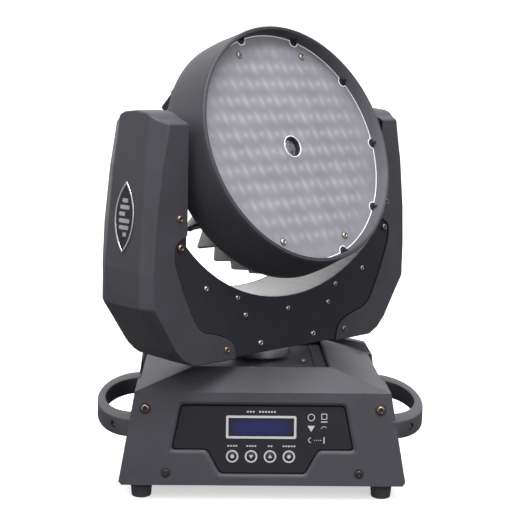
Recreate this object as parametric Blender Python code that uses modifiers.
"""Moving head wash light: a base with two handles, a yoke that pans on it, and an LED head that tilts.

X runs across the base, Y to its back and Z up. The origin is on the pan axis, level with the feet's soles.
"""

import math

import bmesh
import bpy
from mathutils import Vector

# Rest pose and axes
PAN_REST = math.radians(40.6)
TILT_REST = math.radians(21.0)
TILT_HEIGHT = 0.3612
GAP = 0.0003

# Base cover: half sizes at the floor edge, at the eaves and round the pocket in the roof
FLOOR_HALF = (0.1544, 0.1160)
EAVE_HALF = (0.1381, 0.1014)
ROOF_HALF = (0.0760, 0.0743)
BASE_BOTTOM = 0.0191
CORNER_RISE = 0.0038
CORNER_CUT = 0.0030
LIP_FORWARD = 0.0006
EAVE_HEIGHT = 0.1181
ROOF_HEIGHT = 0.1400
WALL = 0.0025
REAR_JOINT = 0.1014
REAR_DEPTH = 0.0149
SIDE_RECESS = (-0.046, 0.088)
PLATE_BOTTOM = 0.0172
PLATE_THICK = 0.0015
FOOT_PLACE = (0.1310, 0.0930)
FOOT_RADII = (0.0119, 0.0107)
POCKET_FLOOR = 0.1350

# Display, along the sloping front face
LCD_CENTRE = (-0.0019, 0.0626)
LCD_WINDOW = (0.0697, 0.0188)
BUTTON_ROW = 0.0311
BUTTON_FIRST = -0.0328
BUTTON_PITCH = 0.02035
BUTTON_RADIUS = 0.0046
BUTTON_PANEL = 0.0029
PANEL_THICK = 0.0015

# Handles, half ellipses in plan
HANDLE_ROOT = 0.1410
HANDLE_OUTER = (0.0455, 0.1070)
HANDLE_INNER = (0.0365, 0.0750)
HANDLE_LEVELS = (0.0695, 0.0890)
HANDLE_SCREW = (0.0890, 0.0795)

# Yoke sheet metal
YOKE_HALF_DEPTH = 0.0448
FLANGE = 0.0013
SHEET = 0.0020
ARM_INNER = 0.1470
SADDLE_RADIUS = 0.1944
SADDLE_CENTRE = 0.4062
YOKE_FLOOR = 0.1540
PLATE_EDGE = 0.1525

# Arm covers: height, front edge, outer face
ARM_RIBS = (
    (0.4055, 0.1715, 0.1815),
    (0.3600, 0.1800, 0.1893),
    (0.3000, 0.1875, 0.1943),
    (0.2550, 0.1900, 0.1980),
    (0.2170, 0.1905, 0.1985),
)
ARM_FACE = (0.0250, 0.0310)
ARM_BEVEL = (0.0325, 0.0365)
BEVEL_SHARE = 0.6
BADGE_HALF = (0.0160, 0.0370)
BADGE_HEIGHT = 0.3085

# Drives
SHAFT_RADIUS = 0.0120
PULLEY_RADIUS = 0.0320
PINION_RADIUS = 0.0080
BELT_THICK = 0.0015
PAN_MOTOR_X = 0.0800
PAN_BELT = (0.1585, 0.1675)
TILT_MOTOR_Z = 0.2220
TILT_BELT = (0.1600, 0.1690)
MOTOR_SIDE = 0.0420
MOTOR_LENGTH = 0.0340

# Head, along its own axis: front is positive
RIM_RADIUS = 0.1343
RIM_FRONT = 0.0640
DRUM_RADIUS = 0.1385
DRUM_BACK = 0.0040
DRUM_WALL = 0.0030
DIFFUSER_RADIUS = 0.1286
DIFFUSER_BACK = 0.0455
DIFFUSER_THICK = 0.0030
NOTCH_COUNT = 10
NOTCH_RADIUS = 0.0056
LENS_HOLE = 0.0120
VANE_COUNT = 30
VANE_THICK = 0.0030
VANE_START = math.radians(8.0)
VANE_ROOT = (0.1340, 0.0010)
VANE_TIP = (0.1222, -0.0412)
HUB_RADIUS = 0.0480
HUB_BACK = -0.0680
FAN_BLADES = 7

QUARTER = math.pi / 2


def clear_scene():
    for obj in list(bpy.data.objects):
        bpy.data.objects.remove(obj, do_unlink=True)


def new_collection(name):
    made = bpy.data.collections.new(name)
    bpy.context.scene.collection.children.link(made)
    return made


def new_finish(name, colour, roughness, metallic=0.0):
    finish = bpy.data.materials.new(name)
    finish.use_nodes = True
    shader = finish.node_tree.nodes["Principled BSDF"]
    shader.inputs["Base Color"].default_value = (*colour, 1.0)
    shader.inputs["Roughness"].default_value = roughness
    shader.inputs["Metallic"].default_value = metallic
    finish.diffuse_color = (*colour, 1.0)
    return finish


clear_scene()
PARTS = new_collection("moving_head_light")
CUTTERS = new_collection("cutters")
CASE = new_finish("case_plastic", (0.075, 0.075, 0.080), 0.55)
BLACK_STEEL = new_finish("black_steel", (0.020, 0.020, 0.024), 0.40)
RUBBER = new_finish("rubber", (0.025, 0.025, 0.026), 0.85)
ALLOY = new_finish("alloy", (0.62, 0.62, 0.64), 0.35, 1.0)
ZINC = new_finish("zinc_steel", (0.50, 0.50, 0.52), 0.40, 1.0)
CASTING = new_finish("cast_alloy", (0.16, 0.16, 0.17), 0.50, 0.6)
BOARD = new_finish("circuit_board", (0.02, 0.14, 0.05), 0.50)
PANEL = new_finish("panel_film", (0.012, 0.012, 0.014), 0.30)
GLASS = new_finish("lcd_glass", (0.03, 0.04, 0.20), 0.10)
BLACK = new_finish("black_plastic", (0.018, 0.018, 0.020), 0.45)
ACRYLIC = new_finish("diffuser_acrylic", (0.72, 0.72, 0.76), 0.35)
LENS = new_finish("clear_lens", (0.85, 0.86, 0.90), 0.08)
SILVER = new_finish("badge_silver", (0.60, 0.60, 0.63), 0.30, 0.8)


def empty(name, parent=None, place=(0, 0, 0), turn=(0, 0, 0)):
    frame = bpy.data.objects.new(name, None)
    PARTS.objects.link(frame)
    frame.parent = parent
    frame.location = place
    frame.rotation_euler = turn
    return frame


def add(name, mesh, finish, parent=None, place=(0, 0, 0), turn=(0, 0, 0)):
    """A part made from a mesh."""
    obj = bpy.data.objects.new(name, mesh)
    PARTS.objects.link(obj)
    mesh.materials.append(finish)
    obj.parent = parent
    obj.location = place
    obj.rotation_euler = turn
    return obj


def helper(name, mesh, parent=None, place=(0, 0, 0), turn=(0, 0, 0)):
    """A hidden solid that cuts or joins a part."""
    obj = bpy.data.objects.new(name, mesh)
    CUTTERS.objects.link(obj)
    obj.parent = parent
    obj.location = place
    obj.rotation_euler = turn
    obj.hide_render = True
    obj.display_type = "WIRE"
    return obj


def boolean(target, other, operation):
    step = target.modifiers.new(other.name, "BOOLEAN")
    step.operation = operation
    step.solver = "EXACT"
    step.object = other


def cut(target, *cutters):
    for cutter in cutters:
        boolean(target, cutter, "DIFFERENCE")


def join(target, *others):
    for other in others:
        boolean(target, other, "UNION")


def finished(bm, name):
    bmesh.ops.recalc_face_normals(bm, faces=bm.faces)
    mesh = bpy.data.meshes.new(name)
    bm.to_mesh(mesh)
    bm.free()
    return mesh


def block(low, high):
    """A box between two corners."""
    low, high = Vector(low), Vector(high)
    bm = bmesh.new()
    bmesh.ops.create_cube(bm, size=1.0)
    bmesh.ops.scale(bm, vec=high - low, verts=bm.verts)
    bmesh.ops.translate(bm, vec=(low + high) / 2, verts=bm.verts)
    return finished(bm, "block")


def drum(radius, low, high, sides=32, top_radius=None):
    """A cylinder or cone along Z."""
    bm = bmesh.new()
    bmesh.ops.create_cone(
        bm,
        cap_ends=True,
        segments=sides,
        radius1=radius,
        radius2=radius if top_radius is None else top_radius,
        depth=high - low,
    )
    bmesh.ops.translate(bm, vec=(0, 0, (low + high) / 2), verts=bm.verts)
    mesh = finished(bm, "drum")
    mesh.shade_smooth()
    mesh.set_sharp_from_angle(angle=math.radians(35))
    return mesh


def slab(low, high, *outlines):
    """Flat outlines in XY, the later ones being holes in the first, from one level to another."""
    curve = bpy.data.curves.new("outline", "CURVE")
    curve.dimensions = "2D"
    curve.fill_mode = "BOTH"
    curve.extrude = (high - low) / 2
    for outline in outlines:
        spline = curve.splines.new("POLY")
        spline.points.add(len(outline) - 1)
        for point, (x, y) in zip(spline.points, outline):
            point.co = (x, y, 0, 1)
        spline.use_cyclic_u = True
    drawn = bpy.data.objects.new("outline", curve)
    CUTTERS.objects.link(drawn)
    graph = bpy.context.evaluated_depsgraph_get()
    bm = bmesh.new()
    bm.from_mesh(bpy.data.meshes.new_from_object(drawn.evaluated_get(graph)))
    bpy.data.objects.remove(drawn)
    bmesh.ops.remove_doubles(bm, verts=bm.verts, dist=0.00001)
    bmesh.ops.translate(bm, vec=(0, 0, (low + high) / 2), verts=bm.verts)
    return finished(bm, "slab")


def turned(name, profile, finish, parent=None, place=(0, 0, 0), turn=(0, 0, 0), steps=24, hollow=True):
    """A profile of (radius, height) turned about Z, down the outside and, if hollow, back up the inside."""
    mesh = bpy.data.meshes.new(name)
    count = len(profile)
    edges = [(i, i + 1) for i in range(count - 1)]
    if hollow:
        edges.append((count - 1, 0))
    mesh.from_pydata([(radius, 0, height) for radius, height in profile], edges, [])
    obj = add(name, mesh, finish, parent, place, turn)
    screw = obj.modifiers.new("turn", "SCREW")
    screw.steps = steps
    screw.render_steps = steps
    screw.use_merge_vertices = True
    screw.merge_threshold = 0.00001
    screw.use_smooth_shade = True
    return obj


def tube(name, outer, inner, low, high, finish, parent=None, place=(0, 0, 0), turn=(0, 0, 0), steps=24):
    """A turned ring of rectangular section."""
    profile = ((outer, high), (outer, low), (inner, low), (inner, high))
    return turned(name, profile, finish, parent, place, turn, steps)


def loft(loops):
    """A closed solid through loops of equal length, with a face over each end."""
    bm = bmesh.new()
    rings = [[bm.verts.new(point) for point in loop] for loop in loops]
    for lower, upper in zip(rings, rings[1:]):
        for i in range(len(lower)):
            j = (i + 1) % len(lower)
            bm.faces.new((lower[i], lower[j], upper[j], upper[i]))
    bm.faces.new(rings[0])
    bm.faces.new(rings[-1])
    return finished(bm, "loft")


def rectangle(half_x, half_y, centre=(0, 0)):
    x, y = centre
    return [
        (x - half_x, y - half_y),
        (x + half_x, y - half_y),
        (x + half_x, y + half_y),
        (x - half_x, y + half_y),
    ]


def ellipse(radius_x, radius_y, count, centre=(0, 0), start=0.0, end=2 * math.pi):
    """Points round an ellipse; a full turn leaves out the repeated last point."""
    closed = abs(end - start) > 2 * math.pi - 0.001
    steps = count if closed else count - 1
    return [
        (
            centre[0] + radius_x * math.cos(start + (end - start) * i / steps),
            centre[1] + radius_y * math.sin(start + (end - start) * i / steps),
        )
        for i in range(count)
    ]


def both_sides(right):
    """A right-hand outline, from its top middle round to its bottom middle, closed by its mirror image."""
    left = [(-x, z) for x, z in reversed(right) if x > 0.0001]
    return list(right) + left


# Frames that the assemblies hang on
FACE_SLOPE = math.atan2(FLOOR_HALF[1] - EAVE_HALF[1], EAVE_HEIGHT - BASE_BOTTOM - CORNER_RISE)
FRONT_FACE = empty("front_face", None, (0, -FLOOR_HALF[1] - LIP_FORWARD, BASE_BOTTOM), (-FACE_SLOPE, 0, 0))
YOKE = empty("pan_axis", None, (0, 0, 0), (0, 0, PAN_REST))
TILT = empty("tilt_axis", YOKE, (0, 0, TILT_HEIGHT), (-TILT_REST, 0, 0))
HEAD = empty("head_axis", TILT, (0, 0, 0), (QUARTER, 0, 0))
UPRIGHT = (QUARTER, 0, 0)


# ---------------------------------------------------------------- base


def base_shell_loops(inset, open_back):
    """Rectangles from the cover's lower edge to its roof, all moved in by the inset."""
    back = REAR_JOINT + (0.002 if open_back else 0.0)
    corner = FLOOR_HALF[0] - CORNER_CUT
    levels = (
        (BASE_BOTTOM - inset, corner, FLOOR_HALF[1] + LIP_FORWARD, back),
        (BASE_BOTTOM + CORNER_RISE, FLOOR_HALF[0], FLOOR_HALF[1], back),
        (EAVE_HEIGHT - inset * 0.8, EAVE_HALF[0], EAVE_HALF[1], back),
        (ROOF_HEIGHT - inset, ROOF_HALF[0], ROOF_HALF[1], ROOF_HALF[1] - inset),
    )
    return [
        [
            (-half + inset, inset - front, height),
            (half - inset, inset - front, height),
            (half - inset, rear, height),
            (-half + inset, rear, height),
        ]
        for height, half, front, rear in levels
    ]


def side_recess(side, inset):
    """The prism that narrows the cover's side between the handle's roots."""
    section = [
        (0.1300 - inset, 0.1270),
        (0.1345 - inset, 0.1185),
        (0.1378 - inset, 0.1080),
        (0.1532 - inset, 0.0170),
        (0.1750, 0.0170),
        (0.1750, 0.1270),
    ]
    start, end = SIDE_RECESS[0] - inset, SIDE_RECESS[1] + inset
    loops = [[(side * x, y, z) for x, z in section] for y in (start, end)]
    return helper("side_recess", loft(loops))


def display_outline(grow):
    """The opening in the front face: wide above, stepping in to a narrow foot."""
    right = [
        (0.0900 + grow, 0.0881 + grow),
        (0.1003 + grow, 0.0363 - grow),
        (0.0610 + grow * 0.5, 0.0363 - grow),
        (0.0470 + grow * 0.5, 0.0108 - grow),
    ]
    return both_sides(right)


def top_cover():
    cover = add("top_cover", loft(base_shell_loops(0.0, False)), CASE)
    hollow = helper("top_cover_hollow", loft(base_shell_loops(WALL, True)))
    for side in (-1, 1):
        cut(cover, side_recess(side, 0.0))
        cut(hollow, side_recess(side, WALL))
    pocket = helper("pocket", slab(0.12, 0.15, rectangle(ROOF_HALF[0] - 0.0017, ROOF_HALF[1] - 0.0017)))
    window = helper("display_window", slab(-0.004, 0.004, display_outline(0.0)), FRONT_FACE, turn=UPRIGHT)
    cut(cover, hollow, pocket, window)


def rear_outline(inset):
    right = [
        (0, 0.1365 - inset),
        (0.1030 - inset * 0.3, 0.1345 - inset),
        (0.1310 - inset * 0.8, 0.1285 - inset * 0.8),
        (0.1395 - inset, 0.1140),
        (0.1544 - inset, BASE_BOTTOM + CORNER_RISE),
        (0.1515 - inset, BASE_BOTTOM + inset),
    ]
    return both_sides(right)


def rear_cover():
    start = REAR_JOINT + GAP
    end = REAR_JOINT + REAR_DEPTH
    cover = add("rear_cover", slab(-end, -start, rear_outline(0.0)), CASE, turn=UPRIGHT)
    hollow = helper("rear_hollow", slab(WALL - end, 0, rear_outline(WALL)), turn=UPRIGHT)
    window = helper("rear_window", slab(-0.15, 0, rectangle(0.1180, 0.0320, (0, 0.0660))), turn=UPRIGHT)
    cut(cover, hollow, window)


def base_plate():
    plate = rectangle(0.1490, 0.1110)
    add("base_plate", slab(PLATE_BOTTOM, PLATE_BOTTOM + PLATE_THICK, plate), BLACK_STEEL)


def feet():
    top, sole = FOOT_RADII
    profile = ((0, PLATE_BOTTOM - GAP), (top, PLATE_BOTTOM - GAP), (sole, 0.0012), (sole - 0.0012, 0), (0, 0))
    for side, x in (("left", -1), ("right", 1)):
        for end, y in (("front", -1), ("rear", 1)):
            place = (x * FOOT_PLACE[0], y * FOOT_PLACE[1], 0)
            turned(f"foot_{end}_{side}", profile, RUBBER, None, place, steps=20, hollow=False)


def handles():
    """Flat D-shaped loops that stand out from the sides; the root follows the side's slope."""
    low, high = HANDLE_LEVELS
    lean = (FLOOR_HALF[0] - EAVE_HALF[0]) / (EAVE_HEIGHT - BASE_BOTTOM - CORNER_RISE)
    for name, side in (("left", -1), ("right", 1)):
        outer = ellipse(*HANDLE_OUTER, 25, (HANDLE_ROOT, 0), -QUARTER, QUARTER)
        inner = ellipse(*HANDLE_INNER, 19, (HANDLE_ROOT, 0), QUARTER, -QUARTER)
        outline = [(side * x, y) for x, y in outer + inner]
        handle = add(f"handle_{name}", slab(low, high, outline), CASE)
        wall = [
            (side * (FLOOR_HALF[0] + 4 * GAP - lean * (z - BASE_BOTTOM - CORNER_RISE)), z)
            for z in (low - 0.01, high + 0.01)
        ]
        section = wall + [(side * 0.10, high + 0.01), (side * 0.10, low - 0.01)]
        loops = [[(x, y, z) for x, z in section] for y in (-0.2, 0.2)]
        cut(handle, helper(f"handle_root_{name}", loft(loops)))
        for y in (-HANDLE_SCREW[0], HANDLE_SCREW[0]):
            hole = drum(0.0042, 0.0, 0.05, 16)
            place = (side * 0.1530, y, HANDLE_SCREW[1])
            cut(handle, helper(f"handle_hole_{name}", hole, None, place, (0, side * QUARTER, 0)))


def display():
    """Panel film, liquid crystal display, its board and four buttons, behind the front face."""
    hidden = BUTTON_PANEL + PANEL_THICK
    window = rectangle(LCD_WINDOW[0] / 2, LCD_WINDOW[1] / 2, LCD_CENTRE)
    places = [(BUTTON_FIRST + i * BUTTON_PITCH, BUTTON_ROW) for i in range(4)]
    holes = [ellipse(BUTTON_RADIUS + GAP, BUTTON_RADIUS + GAP, 16, place) for place in places]
    panel = slab(-hidden, -BUTTON_PANEL, display_outline(0.0030), window, *holes)
    add("display_panel", panel, PANEL, FRONT_FACE, turn=UPRIGHT)
    module = rectangle(0.0400, 0.0160, LCD_CENTRE)
    lcd = add("lcd_module", slab(-0.0090, -hidden - GAP, module), GLASS, FRONT_FACE, turn=UPRIGHT)
    glass = rectangle(LCD_WINDOW[0] / 2 - GAP, LCD_WINDOW[1] / 2 - GAP, LCD_CENTRE)
    face = slab(-hidden - 0.001, -BUTTON_PANEL - 0.0004, glass)
    join(lcd, helper("lcd_glass", face, FRONT_FACE, turn=UPRIGHT))
    board = rectangle(0.0480, 0.0330, (LCD_CENTRE[0], 0.0480))
    add("display_board", slab(-0.0110, -0.0094, board), BOARD, FRONT_FACE, turn=UPRIGHT)
    cap = (
        (0, 0.0),
        (BUTTON_RADIUS - 0.0006, 0.0),
        (BUTTON_RADIUS, -0.0006),
        (BUTTON_RADIUS, -0.0023),
        (BUTTON_RADIUS + 0.0010, -0.0023),
        (BUTTON_RADIUS + 0.0010, -0.0035),
        (0, -0.0035),
    )
    for name, (x, z) in zip(("menu", "down", "up", "enter"), places):
        turned(f"button_{name}", cap, BLACK, FRONT_FACE, (x, BUTTON_PANEL - 0.0005, z), UPRIGHT, 16, False)


def rear_connectors():
    """Steel panel with power inlet, fuse holder and signal sockets; all face the back."""
    inside = REAR_JOINT + REAR_DEPTH - WALL - GAP
    outside = inside - 0.0016
    backwards = (-QUARTER, 0, 0)
    level = 0.066
    panel = rectangle(0.1215, 0.0355, (0, level))
    steel = add("rear_panel", slab(-inside, -outside, panel), BLACK_STEEL, turn=UPRIGHT)
    inlet = add("power_inlet", block((0.0565, 0.0930, 0.0550), (0.0835, inside + 0.0010, 0.0750)), BLACK)
    lip = helper("inlet_lip", block((0.0530, inside + GAP, 0.0520), (0.0870, inside + 0.0020, 0.0780)))
    socket = helper("inlet_socket", block((0.0590, 0.0990, 0.0575), (0.0810, 0.1300, 0.0725)))
    join(inlet, lip)
    cut(inlet, socket)
    slot = helper("inlet_slot", block((0.0562, 0.09, 0.0547), (0.0838, 0.13, 0.0753)))
    cut(steel, slot)
    plug = (
        (0, -0.0120),
        (0.0082, -0.0120),
        (0.0082, 0.0018),
        (0.0130, 0.0018),
        (0.0130, GAP),
        (0.0110, GAP),
        (0.0110, -0.0180),
        (0, -0.0180),
    )
    for name, x in (("dmx_input", -0.0750), ("dmx_output", -0.0350)):
        turned(name, plug, BLACK, None, (x, inside, level), backwards, 24, False)
        bore = helper(f"{name}_bore", drum(0.0113, -0.02, 0.02, 24), None, (x, inside, level), backwards)
        cut(steel, bore)
    cap = (
        (0, 0.0075),
        (0.0058, 0.0075),
        (0.0075, 0.0060),
        (0.0075, GAP),
        (0.0055, GAP),
        (0.0055, -0.0250),
        (0, -0.0250),
    )
    place = (0.0150, inside, level)
    turned("fuse_holder", cap, BLACK, None, place, backwards, 20, False)
    cut(steel, helper("fuse_bore", drum(0.0058, -0.02, 0.02, 20), None, place, backwards))


def base_electronics():
    add("power_supply", block((-0.1000, -0.0500, 0.0192), (0.0300, 0.0500, 0.0560)), ALLOY)
    add("control_board", block((0.0450, -0.0550, 0.0400), (0.1150, 0.0550, 0.0416)), BOARD)


def pan_bearing_group():
    """Hollow shaft fixed under the pocket floor, the big pulley on it, and the bearing that carries the yoke."""
    under = POCKET_FLOOR - SHEET
    hole = ellipse(0.0225, 0.0225, 32)
    floor = rectangle(ROOF_HALF[0] - 0.0021, ROOF_HALF[1] - 0.0021)
    add("pocket_floor", slab(under, POCKET_FLOOR, floor, hole), BLACK_STEEL)
    bore = 0.0095
    profile = (
        (SHAFT_RADIUS, 0.1750),
        (SHAFT_RADIUS, under - GAP),
        (0.0300, under - GAP),
        (0.0300, under - 0.0040),
        (bore, under - 0.0040),
        (bore, 0.1750),
    )
    turned("pan_shaft", profile, ZINC)
    tube("pan_pulley", PULLEY_RADIUS, SHAFT_RADIUS + GAP, *PAN_BELT, ALLOY, steps=32)
    tube("pan_bearing", 0.0205, SHAFT_RADIUS + GAP, 0.1390, 0.1530, ZINC, YOKE)
    ring = (
        (0.0340, YOKE_FLOOR - GAP),
        (0.0340, 0.1400),
        (0.0322, 0.1382),
        (0.0208, 0.1382),
        (0.0208, YOKE_FLOOR - GAP),
    )
    turned("pan_flange", ring, ALLOY, YOKE, steps=36)


def base():
    base_plate()
    feet()
    top_cover()
    rear_cover()
    handles()
    display()
    rear_connectors()
    base_electronics()
    pan_bearing_group()


# ---------------------------------------------------------------- yoke


def saddle_arc(radius, half_width, count):
    """Points of the saddle's curve from its right end to its left end."""
    reach = math.asin(half_width / radius)
    return ellipse(radius, radius, count, (0, SADDLE_CENTRE), reach - QUARTER, -reach - QUARTER)


def yoke_plate(name, side):
    """Cheek plate between the arms, with the saddle's curve along its top."""
    arc = saddle_arc(SADDLE_RADIUS, ARM_INNER, 25)
    right = [
        (ARM_INNER + 0.0002, 0.4000),
        (0.1675, 0.4000),
        (0.1760, 0.3600),
        (0.1835, 0.3000),
        (0.1860, 0.2550),
        (0.1865, 0.2185),
        (0.1570, 0.1735),
        (0.1480, 0.1620),
        (0.1345, 0.1537),
        (0.0770, 0.1537),
        (0.0770, PLATE_EDGE),
    ]
    left = [(-x, z) for x, z in reversed(right)]
    inner = YOKE_HALF_DEPTH - FLANGE - GAP - SHEET
    levels = (inner, inner + SHEET) if side < 0 else (-inner - SHEET, -inner)
    add(name, slab(*levels, right + left + arc[::-1]), BLACK_STEEL, YOKE, turn=UPRIGHT)


def saddle():
    inner_depth = YOKE_HALF_DEPTH - FLANGE - SHEET - 2 * GAP
    half = ARM_INNER - 0.0020
    outline = saddle_arc(SADDLE_RADIUS, half, 25) + saddle_arc(SADDLE_RADIUS + 0.0012, half, 25)[::-1]
    add("yoke_saddle", slab(-inner_depth, inner_depth, outline), BLACK_STEEL, YOKE, turn=UPRIGHT)
    hole = ellipse(SHAFT_RADIUS + 0.0010, SHAFT_RADIUS + 0.0010, 32)
    floor = slab(YOKE_FLOOR, YOKE_FLOOR + 0.0015, rectangle(0.1330, inner_depth), hole)
    add("yoke_floor", floor, BLACK_STEEL, YOKE)


def crown(y):
    """Height of an arm's rounded top at a distance from its middle."""
    rows = ((0.0, 0.4180), (0.0180, 0.4163), (0.0250, 0.4137), (0.0325, 0.4097), (0.0448, 0.4055))
    y = abs(y)
    for (y0, z0), (y1, z1) in zip(rows, rows[1:]):
        if y <= y1:
            return z0 + (z1 - z0) * (y - y0) / (y1 - y0)
    return rows[-1][1]


def arm_side(share, inset):
    """Outer edge of an arm from its shoulder to the floor; share moves it from the front edge to the face."""
    points = [(edge + share * (face - edge) - inset, z) for z, edge, face in ARM_RIBS]
    slope = Vector((0.8388, -0.5446))
    knee = Vector((0.1600, 0.1700)) + slope * (0.0060 * share - inset)
    toe = Vector((0.1500, 0.1580)) + Vector((0.7, -0.7)) * (0.0030 * share - inset)
    points += [tuple(knee), tuple(toe), (0.1360, 0.1505 + inset), (0.0780, 0.1500 + inset)]
    return points


def arm_stations(inset):
    """Depth at the shoulder, depth at the foot and share, from the front flange to the middle."""
    return (
        (YOKE_HALF_DEPTH - inset, YOKE_HALF_DEPTH - inset, 0.0),
        (ARM_BEVEL[0] - inset, ARM_BEVEL[1] - inset, BEVEL_SHARE),
        (ARM_FACE[0] - inset, ARM_FACE[1] - inset, 1.0),
        (0.0180 - inset, 0.0180 - inset, 1.0),
        (0.0, 0.0, 1.0),
    )


def arm_loops(inset, boundary):
    """Loops across the arm's depth; the boundary closes each on the side of the cheek plates."""
    rows = arm_stations(inset)
    rows = [(-a, -b, share) for a, b, share in rows] + list(rows[-2::-1])
    top, foot = ARM_RIBS[0][0], ARM_RIBS[-1][0]
    loops = []
    for depth_top, depth_foot, share in rows:
        side = arm_side(share, inset)
        side[0] = (side[0][0], crown(depth_top) - inset)
        loop = []
        for x, z in side:
            fall = min(max((top - z) / (top - foot), 0.0), 1.0)
            loop.append((x, depth_top + (depth_foot - depth_top) * fall, z))
        loop += [(x, depth_top, z) for x, z in boundary]
        loop.append((boundary[-1][0], depth_top, crown(depth_top) - inset))
        loops.append(loop)
    return loops


def arm_covers():
    """Moulded shell round each arm, open towards the yoke's inside."""
    boundary = [
        (0.0780, 0.1535),
        (0.0820, 0.1680),
        (0.0930, 0.1760),
        (0.1100, 0.1820),
        (0.1210, 0.1845),
        (0.1335, 0.1940),
        (0.1480, 0.2220),
        (0.1620, 0.2580),
        (0.1640, 0.2720),
        (0.1610, 0.2830),
        (ARM_INNER, 0.2910),
    ]
    for name, side in (("left", -1), ("right", 1)):
        outer = [[(side * x, y, z) for x, y, z in loop] for loop in arm_loops(0.0, boundary)]
        inner = [[(side * x, y, z) for x, y, z in loop] for loop in arm_loops(WALL, [(0.05, 0.1525)])]
        for loop in (inner[0], inner[-1]):
            flange = math.copysign(YOKE_HALF_DEPTH - FLANGE, loop[0][1])
            loop[:] = [(x, flange, z) for x, y, z in loop]
        cover = add(f"arm_cover_{name}", loft(outer), CASE, YOKE)
        cut(cover, helper(f"arm_hollow_{name}", loft(inner), YOKE))


def arm_inner_plates():
    """Inner walls of the arms, which hold the tilt bearings."""
    half = YOKE_HALF_DEPTH - FLANGE - SHEET - 2 * GAP
    tops = [(y, crown(y) - 0.0030) for y in (half, 0.0325, 0.0250, 0.0180, 0.0)]
    outline = [(-half, 0.2000), (half, 0.2000)] + tops + [(-y, z) for y, z in tops[-2::-1]]
    bore = ellipse(0.0163, 0.0163, 24, (0, TILT_HEIGHT))
    pilot = ellipse(0.0060, 0.0060, 16, (0, TILT_MOTOR_Z))
    for name, side in (("left", -1), ("right", 1)):
        low, high = sorted((side * (ARM_INNER - 0.0014), side * ARM_INNER))
        turn = (QUARTER, 0, QUARTER)
        plate = slab(low, high, outline, bore, pilot)
        add(f"arm_inner_plate_{name}", plate, BLACK_STEEL, YOKE, turn=turn)


def badges():
    """Plain pointed oval on the flat of each arm, leaning with it."""
    (high, _, x_high), (low, _, x_low) = ARM_RIBS[1], ARM_RIBS[2]
    lean = math.atan2(x_low - x_high, high - low)
    reach = x_high + (high - BADGE_HEIGHT) * math.tan(lean) + GAP
    half_width, half_height = BADGE_HALF
    radius = (half_height**2 + half_width**2) / (2 * half_width)
    angle = math.asin(half_height / radius)
    centre = radius - half_width
    right = ellipse(radius, radius, 15, (-centre, 0), -angle, angle)
    left = ellipse(radius, radius, 15, (centre, 0), math.pi - angle, math.pi + angle)
    outline = right + left[1:-1]
    for name, side in (("left", -1), ("right", 1)):
        frame = empty(f"badge_frame_{name}", YOKE, (side * reach, 0, BADGE_HEIGHT), (0, -side * lean, 0))
        levels = (0, 0.0010) if side > 0 else (-0.0010, 0)
        add(f"badge_{name}", slab(*levels, outline), SILVER, frame, turn=(QUARTER, 0, QUARTER))


def belt_outline(radius_a, radius_b, distance):
    """Closed loop round two wheels, the second at a distance along X."""
    spread = math.acos((radius_a - radius_b) / distance)
    big = ellipse(radius_a, radius_a, 25, (0, 0), spread, 2 * math.pi - spread)
    small = ellipse(radius_b, radius_b, 13, (distance, 0), -spread, spread)
    return big + small


def belt(name, low, high, distance, parent, place, turn):
    loops = [
        belt_outline(PULLEY_RADIUS + GAP + thick, PINION_RADIUS + GAP + thick, distance)
        for thick in (BELT_THICK, 0.0)
    ]
    add(name, slab(low, high, *loops), RUBBER, parent, place, turn)


def stepper(name, parent, place, turn, shaft):
    """Square motor whose body stands above its frame's origin and whose shaft hangs below it."""
    half = MOTOR_SIDE / 2
    chamfer = 0.0035
    corners = [
        (half, half - chamfer),
        (half - chamfer, half),
        (chamfer - half, half),
        (-half, half - chamfer),
        (-half, chamfer - half),
        (chamfer - half, -half),
        (half - chamfer, -half),
        (half, chamfer - half),
    ]
    body = add(name, slab(0, MOTOR_LENGTH, corners), BLACK_STEEL, parent, place, turn)
    join(body, helper(f"{name}_shaft", drum(0.0025, -shaft, 0.005, 16), parent, place, turn))


def pinion(name, low, high, parent, place, turn):
    """Small pulley on a motor shaft."""
    return tube(name, PINION_RADIUS, 0.0028, low, high, ALLOY, parent, place, turn, 20)


def pan_drive():
    seat = PAN_BELT[1] + 0.0045
    place = (PAN_MOTOR_X, 0, 0)
    stepper("pan_motor", YOKE, (PAN_MOTOR_X, 0, seat), (0, 0, 0), seat - PAN_BELT[0] - 0.0005)
    bore = ellipse(0.0060, 0.0060, 20, place[:2])
    bracket = slab(seat - 0.0023, seat - GAP, rectangle(0.0300, 0.0405, (PAN_MOTOR_X, 0)), bore)
    add("pan_motor_bracket", bracket, ZINC, YOKE)
    pinion("pan_pinion", *PAN_BELT, YOKE, place, (0, 0, 0))
    belt("pan_belt", *PAN_BELT, PAN_MOTOR_X, YOKE, (0, 0, 0), (0, 0, 0))


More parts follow.
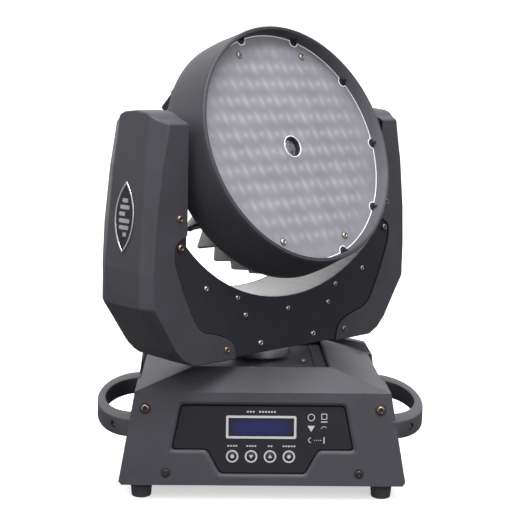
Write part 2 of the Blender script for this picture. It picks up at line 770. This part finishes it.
def tilt_drive():
    """Motor low in the left arm, belt up to the pulley on the head's shaft."""
    outwards = (0, QUARTER, 0)
    seat = -ARM_INNER + 0.0014 + GAP
    place = (seat, 0, TILT_MOTOR_Z)
    stepper("tilt_motor", YOKE, place, outwards, TILT_BELT[1] + seat + 0.0005)
    axis = (0, 0, TILT_MOTOR_Z)
    pinion("tilt_pinion", -TILT_BELT[1], -TILT_BELT[0], YOKE, axis, outwards)
    distance = TILT_HEIGHT - TILT_MOTOR_Z
    axle = (0, 0, TILT_HEIGHT)
    belt("tilt_belt", -TILT_BELT[1], -TILT_BELT[0], distance, YOKE, axle, outwards)
    low, high = -TILT_BELT[1], -TILT_BELT[0]
    tube("tilt_pulley", PULLEY_RADIUS, 0.0103, low, high, ALLOY, TILT, (0, 0, 0), outwards, 32)
    for name, low in (("left", -0.1500), ("right", 0.1440)):
        tube(f"tilt_bearing_{name}", 0.0160, 0.0103, low, low + 0.0060, ZINC, YOKE, axle, outwards)


def yoke():
    yoke_plate("yoke_front_plate", -1)
    yoke_plate("yoke_rear_plate", 1)
    saddle()
    arm_covers()
    arm_inner_plates()
    badges()
    pan_drive()
    tilt_drive()


# ---------------------------------------------------------------- head


def head_ring():
    """Drum that widens towards the back, with a rounded front lip and a bore down to the diffuser."""
    flare = (
        (RIM_RADIUS, RIM_FRONT - 0.0026),
        (RIM_RADIUS + 0.0010, 0.0480),
        (RIM_RADIUS + 0.0023, 0.0360),
        (RIM_RADIUS + 0.0034, 0.0260),
        (DRUM_RADIUS - 0.0001, 0.0130),
        (DRUM_RADIUS, DRUM_BACK + 0.0018),
    )
    lip = ((RIM_RADIUS - 0.0026, RIM_FRONT), (RIM_RADIUS - 0.0008, RIM_FRONT - 0.0008))
    back = ((DRUM_RADIUS - 0.0008, DRUM_BACK), (DRUM_RADIUS - DRUM_WALL, DRUM_BACK))
    inside = tuple((radius - DRUM_WALL, z) for radius, z in reversed(flare[2:-1]))
    seat = (
        (DIFFUSER_RADIUS + 0.0040, DIFFUSER_BACK - 0.0060),
        (DIFFUSER_RADIUS + 0.0006, DIFFUSER_BACK - 0.0030),
        (DIFFUSER_RADIUS + 0.0014, RIM_FRONT),
    )
    profile = lip + flare + back + inside + seat
    turned("head_ring", profile, CASE, HEAD, steps=56)


def diffuser():
    """Frosted disc with a hole for the centre lens and notches round its edge."""
    front = DIFFUSER_BACK + DIFFUSER_THICK
    hole = ellipse(LENS_HOLE, LENS_HOLE, 24)
    disc = slab(DIFFUSER_BACK, front, ellipse(DIFFUSER_RADIUS, DIFFUSER_RADIUS, 60), hole)
    plate = add("diffuser", disc, ACRYLIC, HEAD)
    for i in range(NOTCH_COUNT):
        angle = 2 * math.pi * i / NOTCH_COUNT
        place = (DIFFUSER_RADIUS * math.cos(angle), DIFFUSER_RADIUS * math.sin(angle), 0)
        cut(plate, helper(f"notch_{i}", drum(NOTCH_RADIUS, 0.04, 0.055, 10), HEAD, place))


def head_optics():
    """Lens array, board of light-emitting diodes and the clear centre lens in its collar."""
    face = 0.0199
    add("led_board", slab(face, face + 0.0016, ellipse(0.1250, 0.1250, 40)), BOARD, HEAD)
    tube("lens_array", 0.1250, LENS_HOLE + 0.0005, face + 0.0019, face + 0.0110, LENS, HEAD, steps=40)
    collar = ((0.0116, 0.0490), (0.0116, 0.0219), (0.0095, 0.0219), (0.0095, 0.0490))
    turned("centre_collar", collar, BLACK, HEAD, steps=24)
    dome = ((0, 0.0478), (0.0050, 0.0470), (0.0080, 0.0450), (0.0092, 0.0425), (0.0092, 0.0400), (0, 0.0400))
    turned("centre_lens", dome, LENS, HEAD, steps=24, hollow=False)


def vane_mesh():
    """Radial vanes round the axis, each a tapering plate."""
    section = (
        (HUB_RADIUS - 0.0015, 0.0170),
        (0.1250, 0.0170),
        (0.1250, VANE_ROOT[1]),
        VANE_ROOT,
        VANE_TIP,
        (VANE_TIP[0] - 0.0032, VANE_TIP[1] - 0.0028),
        (HUB_RADIUS - 0.0015, HUB_BACK),
    )
    bm = bmesh.new()
    for i in range(VANE_COUNT):
        angle = VANE_START + 2 * math.pi * i / VANE_COUNT
        along = Vector((math.cos(angle), math.sin(angle), 0))
        across = Vector((-math.sin(angle), math.cos(angle), 0)) * VANE_THICK / 2
        sides = [
            [bm.verts.new(along * r + across * sign + Vector((0, 0, z))) for r, z in section]
            for sign in (-1, 1)
        ]
        for j in range(len(section)):
            k = (j + 1) % len(section)
            bm.faces.new((sides[0][j], sides[0][k], sides[1][k], sides[1][j]))
        bm.faces.new(sides[0])
        bm.faces.new(sides[1])
    return finished(bm, "vanes")


def heat_sink():
    """Cup that carries the light board, a central hub for the fan, and the vanes between them."""
    profile = (
        (0, 0.0196),
        (0.1280, 0.0196),
        (0.1280, DRUM_BACK - GAP),
        (0.1350, DRUM_BACK - GAP),
        (0.1350, DRUM_BACK - 0.0043),
        (0.1240, DRUM_BACK - 0.0043),
        (0.1240, 0.0160),
        (HUB_RADIUS, 0.0160),
        (HUB_RADIUS, HUB_BACK),
        (HUB_RADIUS - 0.0030, HUB_BACK),
        (HUB_RADIUS - 0.0030, 0.0160),
        (0, 0.0160),
    )
    sink = turned("heat_sink", profile, CASTING, HEAD, steps=60, hollow=False)
    join(sink, helper("vanes", vane_mesh(), HEAD))


def bars(count, reach, half_width, low, high, turn=0.0):
    """Radial bars from the middle outwards, joined there."""
    bm = bmesh.new()
    for i in range(count):
        angle = turn + 2 * math.pi * i / count
        along = Vector((math.cos(angle), math.sin(angle), 0))
        across = Vector((-math.sin(angle), math.cos(angle), 0)) * half_width
        near, far = along * half_width * 1.2, along * reach
        corners = (near - across, far - across, far + across, near + across)
        rings = [[bm.verts.new(corner + Vector((0, 0, z))) for corner in corners] for z in (low, high)]
        for j in range(4):
            k = (j + 1) % 4
            bm.faces.new((rings[0][j], rings[0][k], rings[1][k], rings[1][j]))
        bm.faces.new(rings[0])
        bm.faces.new(rings[1])
    return finished(bm, "bars")


def blade_mesh():
    """Fan blades, each a flat plate pitched about its own radius."""
    bm = bmesh.new()
    pitch = math.radians(35)
    for i in range(FAN_BLADES):
        angle = 2 * math.pi * i / FAN_BLADES
        along = Vector((math.cos(angle), math.sin(angle), 0))
        onward = Vector((-math.sin(angle), math.cos(angle), 0))
        chord = onward * math.cos(pitch) + Vector((0, 0, math.sin(pitch)))
        thick = along.cross(chord) * 0.0006
        rings = []
        for reach, half in ((0.0125, 0.0055), (0.0395, 0.0085)):
            root, edge = along * reach, chord * half
            corners = (root - edge - thick, root + edge - thick, root + edge + thick, root - edge + thick)
            rings.append([bm.verts.new(corner) for corner in corners])
        for j in range(4):
            k = (j + 1) % 4
            bm.faces.new((rings[0][j], rings[0][k], rings[1][k], rings[1][j]))
        bm.faces.new(rings[0])
        bm.faces.new(rings[1])
    return finished(bm, "blades")


def cooling_fan():
    """Axial fan in the heat sink's hub, with a guard over it."""
    frame = tube("fan_frame", 0.0447, 0.0415, -0.0640, -0.0400, BLACK, HEAD, steps=24)
    hub = helper("fan_motor", drum(0.0130, -0.0440, -0.0400, 16), HEAD)
    join(frame, helper("fan_spokes", bars(3, 0.0430, 0.0020, -0.0430, -0.0402), HEAD), hub)
    rotor = add("fan_rotor", drum(0.0150, -0.0620, -0.0450, 20), BLACK, HEAD)
    join(rotor, helper("fan_blades", blade_mesh(), HEAD, (0, 0, -0.0535)))
    low, high = HUB_BACK - 0.0018, HUB_BACK - GAP
    guard = tube("fan_guard", 0.0495, 0.0460, low, high, BLACK, HEAD, steps=28)
    for outer in (0.0370, 0.0275, 0.0180):
        ring = slab(low, high, ellipse(outer, outer, 24), ellipse(outer - 0.0020, outer - 0.0020, 24))
        join(guard, helper("guard_ring", ring, HEAD))
    join(guard, helper("guard_cross", bars(4, 0.0470, 0.0012, low, high, math.pi / 4), HEAD))
    join(guard, helper("guard_boss", drum(0.0085, low, high, 16), HEAD))


def tilt_shafts():
    """Hollow trunnions with a flange over the drum's back edge; the left one carries the pulley."""
    flange = DRUM_RADIUS + GAP
    for name, side, reach in (("left", -1, 0.1720), ("right", 1, 0.1600)):
        profile = (
            (0.0100, reach),
            (0.0100, flange + 0.0025),
            (0.0190, flange + 0.0025),
            (0.0190, flange),
            (0.0070, flange),
            (0.0070, reach),
        )
        turned(f"tilt_shaft_{name}", profile, ZINC, TILT, turn=(0, side * QUARTER, 0), steps=24)


def head():
    head_ring()
    diffuser()
    head_optics()
    heat_sink()
    cooling_fan()
    tilt_shafts()


base()
yoke()
head()
